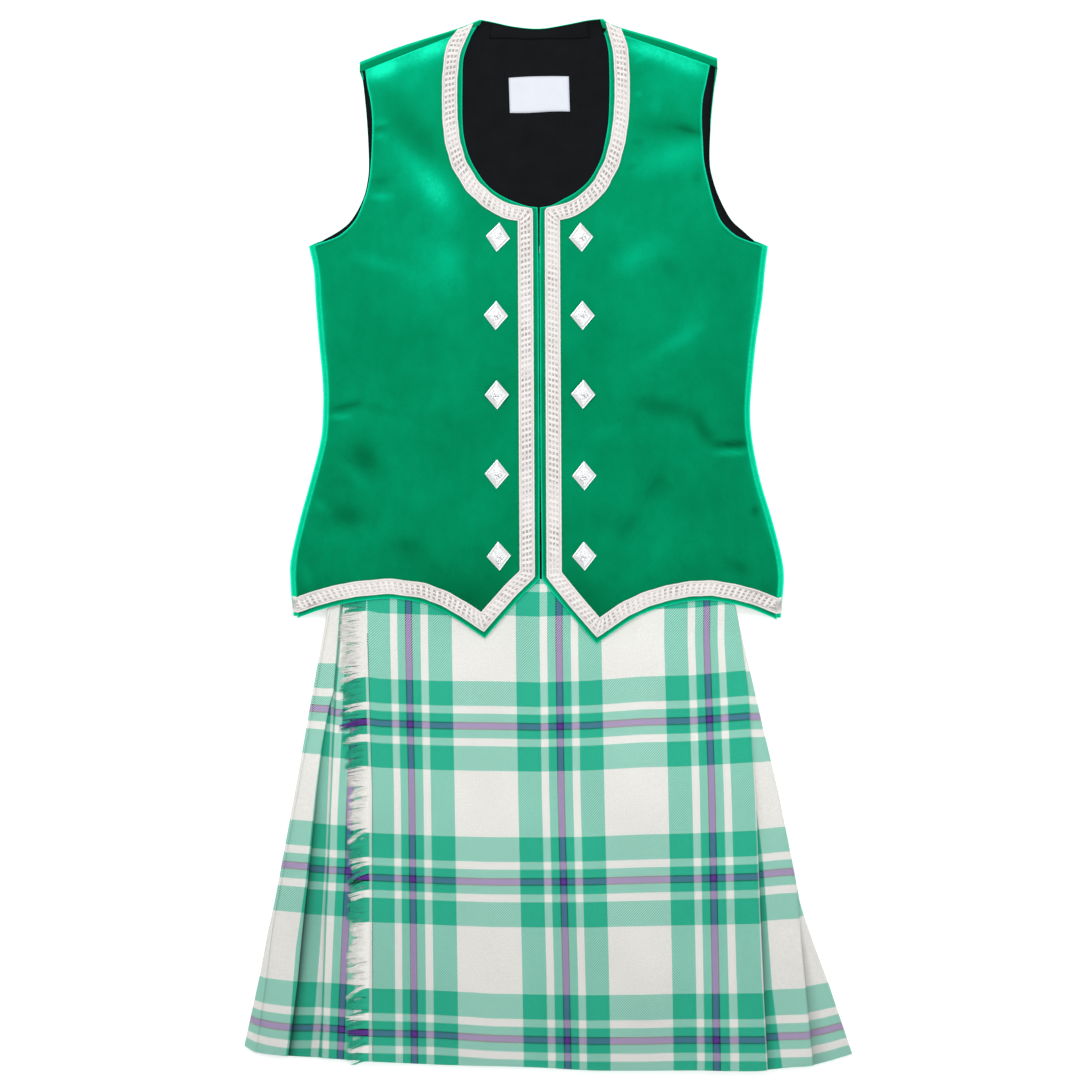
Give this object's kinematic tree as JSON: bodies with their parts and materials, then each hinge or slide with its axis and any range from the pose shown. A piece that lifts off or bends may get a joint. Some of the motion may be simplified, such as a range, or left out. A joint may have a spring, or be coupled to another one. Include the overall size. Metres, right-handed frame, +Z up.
{
  "type": "tartan dress, a velvet waistcoat and pleated kilt set laid flat",
  "caption": "Sleeveless velvet waistcoat with braid and diamond buttons over a pleated tartan kilt with a fringed apron, laid flat as one outfit.",
  "frame": {"origin": "on the flat underside of the waistcoat's back, on the outfit's middle line, a little above the waist", "axes": "+X to the outfit's left side as it is worn, which is right in the picture; +Y towards the neck; +Z up off the surface"},
  "size_m": [0.4866, 0.8416, 0.0179],
  "materials": {
    "velvet": "green cotton velvet with a short pile",
    "lining": "black plain woven lining",
    "label": "white woven label, bare",
    "braid": "silver metallic braid",
    "tartan": "twill worsted wool in a white, green and purple tartan",
    "band": "plain white wool",
    "fringe": "drawn wool threads in the tartan's colours",
    "button": "bright silver",
    "hook": "plated wire"
  },
  "bodies": {
    "root": {"waistcoat_back": "velvet", "front_left": "velvet", "front_right": "velvet", "back_lining": "lining", "neck_facing": "lining", "label": "label", "braid_left": "braid", "braid_right": "braid", "kilt_pleats": "tartan", "kilt_under_apron": "tartan", "kilt_apron": "tartan", "kilt_waistband": "band", "apron_fringe": "fringe", "front_hook": "hook", "button_left_1": "button", "button_left_2": "button", "button_left_3": "button", "button_left_4": "button", "button_left_5": "button", "button_right_1": "button", "button_right_2": "button", "button_right_3": "button", "button_right_4": "button", "button_right_5": "button"}
  },
  "joints": []
}
